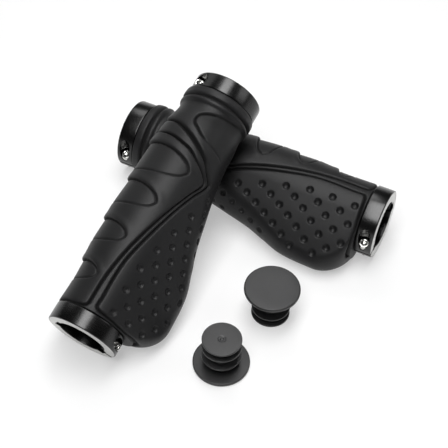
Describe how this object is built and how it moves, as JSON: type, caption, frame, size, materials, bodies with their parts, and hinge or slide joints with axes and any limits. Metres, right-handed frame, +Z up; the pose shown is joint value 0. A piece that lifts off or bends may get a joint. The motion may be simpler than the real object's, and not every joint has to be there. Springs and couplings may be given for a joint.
{
  "type": "bicycle handlebar grip set",
  "caption": "Pair of ergonomic clamp-on handlebar grips with palm wings, split clamp rings and clamp bolts, and push-in bar end plugs.",
  "frame": {"origin": "centre of the bounding box on the surface that the grips and plugs stand on", "axes": "+X along the bore of the right grip, from its inboard end to its outboard end; +Y away from the palm wing of the right grip; +Z up"},
  "size_m": [0.137, 0.1464, 0.0721],
  "materials": {
    "rubber": "matte moulded rubber with a fine texture",
    "sleeve_nylon": "satin moulded nylon",
    "anodised_clamp": "black anodised, satin",
    "bolt_steel": "bright zinc plated",
    "plug_plastic": "satin moulded plastic"
  },
  "bodies": {
    "right_grip": {"right_rubber_grip": "rubber", "right_core_sleeve": "sleeve_nylon"},
    "left_grip": {"left_rubber_grip": "rubber", "left_core_sleeve": "sleeve_nylon"},
    "right_outboard_clamp": {"right_outboard_clamp": "anodised_clamp"},
    "right_outboard_bolt": {"right_outboard_bolt": "bolt_steel"},
    "right_inboard_clamp": {"right_inboard_clamp": "anodised_clamp"},
    "right_inboard_bolt": {"right_inboard_bolt": "bolt_steel"},
    "left_outboard_clamp": {"left_outboard_clamp": "anodised_clamp"},
    "left_outboard_bolt": {"left_outboard_bolt": "bolt_steel"},
    "left_inboard_clamp": {"left_inboard_clamp": "anodised_clamp"},
    "left_inboard_bolt": {"left_inboard_bolt": "bolt_steel"},
    "left_plug": {"left_end_plug": "plug_plastic"},
    "right_plug": {"right_end_plug": "plug_plastic"}
  },
  "joints": [
    {"name": "left_grip_lift", "type": "slide", "parent": "right_grip", "child": "left_grip", "axis": [0, 0, 1], "range_m": [0, 0.1]},
    {"name": "right_outboard_clamp_slide", "type": "slide", "parent": "right_grip", "child": "right_outboard_clamp", "axis": [1, 0, 0], "range_m": [0, 0.02]},
    {"name": "right_outboard_bolt_turn", "type": "hinge", "parent": "right_outboard_clamp", "child": "right_outboard_bolt", "pos_m": [0.06435, 0.03917, 0.01435], "axis": [0, -0.2861, 0.9582], "continuous": true},
    {"name": "right_inboard_clamp_slide", "type": "slide", "parent": "right_grip", "child": "right_inboard_clamp", "axis": [-1, 0, 0], "range_m": [0, 0.02]},
    {"name": "right_inboard_bolt_turn", "type": "hinge", "parent": "right_inboard_clamp", "child": "right_inboard_bolt", "pos_m": [-0.06435, 0.03917, 0.01435], "axis": [0, -0.2861, 0.9582], "continuous": true},
    {"name": "left_outboard_clamp_slide", "type": "slide", "parent": "left_grip", "child": "left_outboard_clamp", "axis": [-0.0534, -0.9551, -0.2916], "range_m": [0, 0.009]},
    {"name": "left_outboard_bolt_turn", "type": "hinge", "parent": "left_outboard_clamp", "child": "left_outboard_bolt", "pos_m": [-0.01381, -0.06332, 0.01161], "axis": [0.4914, -0.2793, 0.8249], "continuous": true},
    {"name": "left_inboard_clamp_slide", "type": "slide", "parent": "left_grip", "child": "left_inboard_clamp", "axis": [0.0534, 0.9551, 0.2916], "range_m": [0, 0.02]},
    {"name": "left_inboard_bolt_turn", "type": "hinge", "parent": "left_inboard_clamp", "child": "left_inboard_bolt", "pos_m": [-0.03327, 0.0576, 0.0605], "axis": [0.2999, -0.2938, 0.9076], "continuous": true},
    {"name": "left_plug_lift", "type": "slide", "parent": "right_grip", "child": "left_plug", "axis": [0, 0, 1], "range_m": [0, 0.05]},
    {"name": "right_plug_lift", "type": "slide", "parent": "right_grip", "child": "right_plug", "axis": [0, 0, 1], "range_m": [0, 0.05]}
  ]
}
